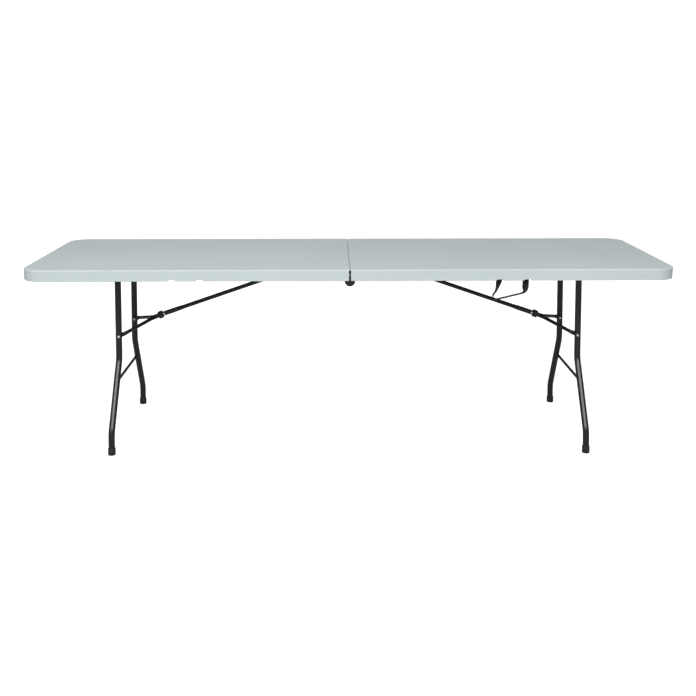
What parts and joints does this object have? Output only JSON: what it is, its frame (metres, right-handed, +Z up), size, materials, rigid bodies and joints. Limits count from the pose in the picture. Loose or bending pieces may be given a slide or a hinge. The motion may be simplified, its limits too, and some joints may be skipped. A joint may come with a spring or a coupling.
{
  "type": "folding table",
  "caption": "Long rectangular table that folds in half, with two splayed tube leg frames folding inward on braces and a webbing carry strap on one long edge.",
  "frame": {"origin": "centre of the open table on the floor, midway between the two halves", "axes": "+X along the length, towards the half that carries the strap; -Y is the long side with the strap; +Z up"},
  "size_m": [2.44, 0.76, 0.74],
  "materials": {
    "moulded_hdpe": "grey-white blow-moulded HDPE with a fine grained surface",
    "leg_paint": "dark grey semi-gloss powder coat on steel tube",
    "rail_paint": "dark grey powder coat on pressed steel sheet",
    "zinc_steel": "bright zinc-plated steel",
    "black_plastic": "black moulded plastic",
    "webbing": "black woven webbing"
  },
  "bodies": {
    "left_half": {"left_top": "moulded_hdpe", "left_rail_front": "rail_paint", "left_rail_back": "rail_paint", "left_cross_rail": "rail_paint", "left_brace_bracket": "rail_paint", "left_brace_pin": "zinc_steel", "left_hinge_leaf_front": "rail_paint", "left_hinge_leaf_back": "rail_paint", "hinge_pin_front": "rail_paint", "hinge_pin_back": "rail_paint"},
    "right_half": {"right_top": "moulded_hdpe", "right_rail_front": "rail_paint", "right_rail_back": "rail_paint", "right_cross_rail": "rail_paint", "right_brace_bracket": "rail_paint", "right_brace_pin": "zinc_steel", "right_hinge_leaf_front": "rail_paint", "right_hinge_leaf_back": "rail_paint", "carry_strap": "webbing", "strap_anchor_inner": "zinc_steel", "strap_anchor_outer": "zinc_steel"},
    "left_leg_frame": {"left_pivot_tube": "leg_paint", "left_pivot_plug_front": "black_plastic", "left_pivot_plug_back": "black_plastic", "left_leg_front": "leg_paint", "left_leg_back": "leg_paint", "left_leg_crossbar": "leg_paint", "left_foot_cap_front": "black_plastic", "left_foot_cap_back": "black_plastic", "left_leg_rivet_front": "zinc_steel", "left_leg_rivet_back": "zinc_steel"},
    "left_brace": {"left_brace_bar": "leg_paint"},
    "left_fork": {"left_fork_arm_front": "leg_paint", "left_fork_arm_back": "leg_paint", "left_brace_rivet": "zinc_steel"},
    "left_ring": {"left_lock_ring": "leg_paint"},
    "right_leg_frame": {"right_pivot_tube": "leg_paint", "right_pivot_plug_front": "black_plastic", "right_pivot_plug_back": "black_plastic", "right_leg_front": "leg_paint", "right_leg_back": "leg_paint", "right_leg_crossbar": "leg_paint", "right_foot_cap_front": "black_plastic", "right_foot_cap_back": "black_plastic", "right_leg_rivet_front": "zinc_steel", "right_leg_rivet_back": "zinc_steel"},
    "right_brace": {"right_brace_bar": "leg_paint"},
    "right_fork": {"right_fork_arm_front": "leg_paint", "right_fork_arm_back": "leg_paint", "right_brace_rivet": "zinc_steel"},
    "right_ring": {"right_lock_ring": "leg_paint"}
  },
  "joints": [
    {"name": "centre_fold", "type": "hinge", "parent": "left_half", "child": "right_half", "pos_m": [0, 0, 0.69], "axis": [0, 1, 0], "range_deg": [0, 100]},
    {"name": "left_leg_fold", "type": "hinge", "parent": "left_half", "child": "left_leg_frame", "pos_m": [-0.9071, 0, 0.7065], "axis": [0, -1, 0], "range_deg": [0, 91.18]},
    {"name": "left_brace_swing", "type": "hinge", "parent": "left_half", "child": "left_brace", "pos_m": [-0.105, 0, 0.714], "axis": [0, 1, 0], "range_deg": [0, 18.64]},
    {"name": "left_fork_swing", "type": "hinge", "parent": "left_brace", "child": "left_fork", "pos_m": [-0.7576, 0, 0.4884], "axis": [0, -1, 0], "range_deg": [0, 178.16]},
    {"name": "left_ring_slide", "type": "slide", "parent": "left_brace", "child": "left_ring", "axis": [0.9451, 0, 0.3267], "range_m": [0, 0.195]},
    {"name": "right_leg_fold", "type": "hinge", "parent": "right_half", "child": "right_leg_frame", "pos_m": [0.9071, 0, 0.7065], "axis": [0, 1, 0], "range_deg": [0, 91.18]},
    {"name": "right_brace_swing", "type": "hinge", "parent": "right_half", "child": "right_brace", "pos_m": [0.105, 0, 0.714], "axis": [0, -1, 0], "range_deg": [0, 18.64]},
    {"name": "right_fork_swing", "type": "hinge", "parent": "right_brace", "child": "right_fork", "pos_m": [0.7576, 0, 0.4884], "axis": [0, 1, 0], "range_deg": [0, 178.16]},
    {"name": "right_ring_slide", "type": "slide", "parent": "right_brace", "child": "right_ring", "axis": [-0.9451, 0, 0.3267], "range_m": [0, 0.195]}
  ],
  "couplings": [
    {"joint": "left_brace_swing", "follows": "left_leg_fold", "ratio": 0.20443},
    {"joint": "left_fork_swing", "follows": "left_leg_fold", "ratio": 1.954},
    {"joint": "left_ring_slide", "follows": "left_leg_fold", "m_per_rad": 0.12253},
    {"joint": "right_brace_swing", "follows": "right_leg_fold", "ratio": 0.20443},
    {"joint": "right_fork_swing", "follows": "right_leg_fold", "ratio": 1.954},
    {"joint": "right_ring_slide", "follows": "right_leg_fold", "m_per_rad": 0.12253}
  ]
}
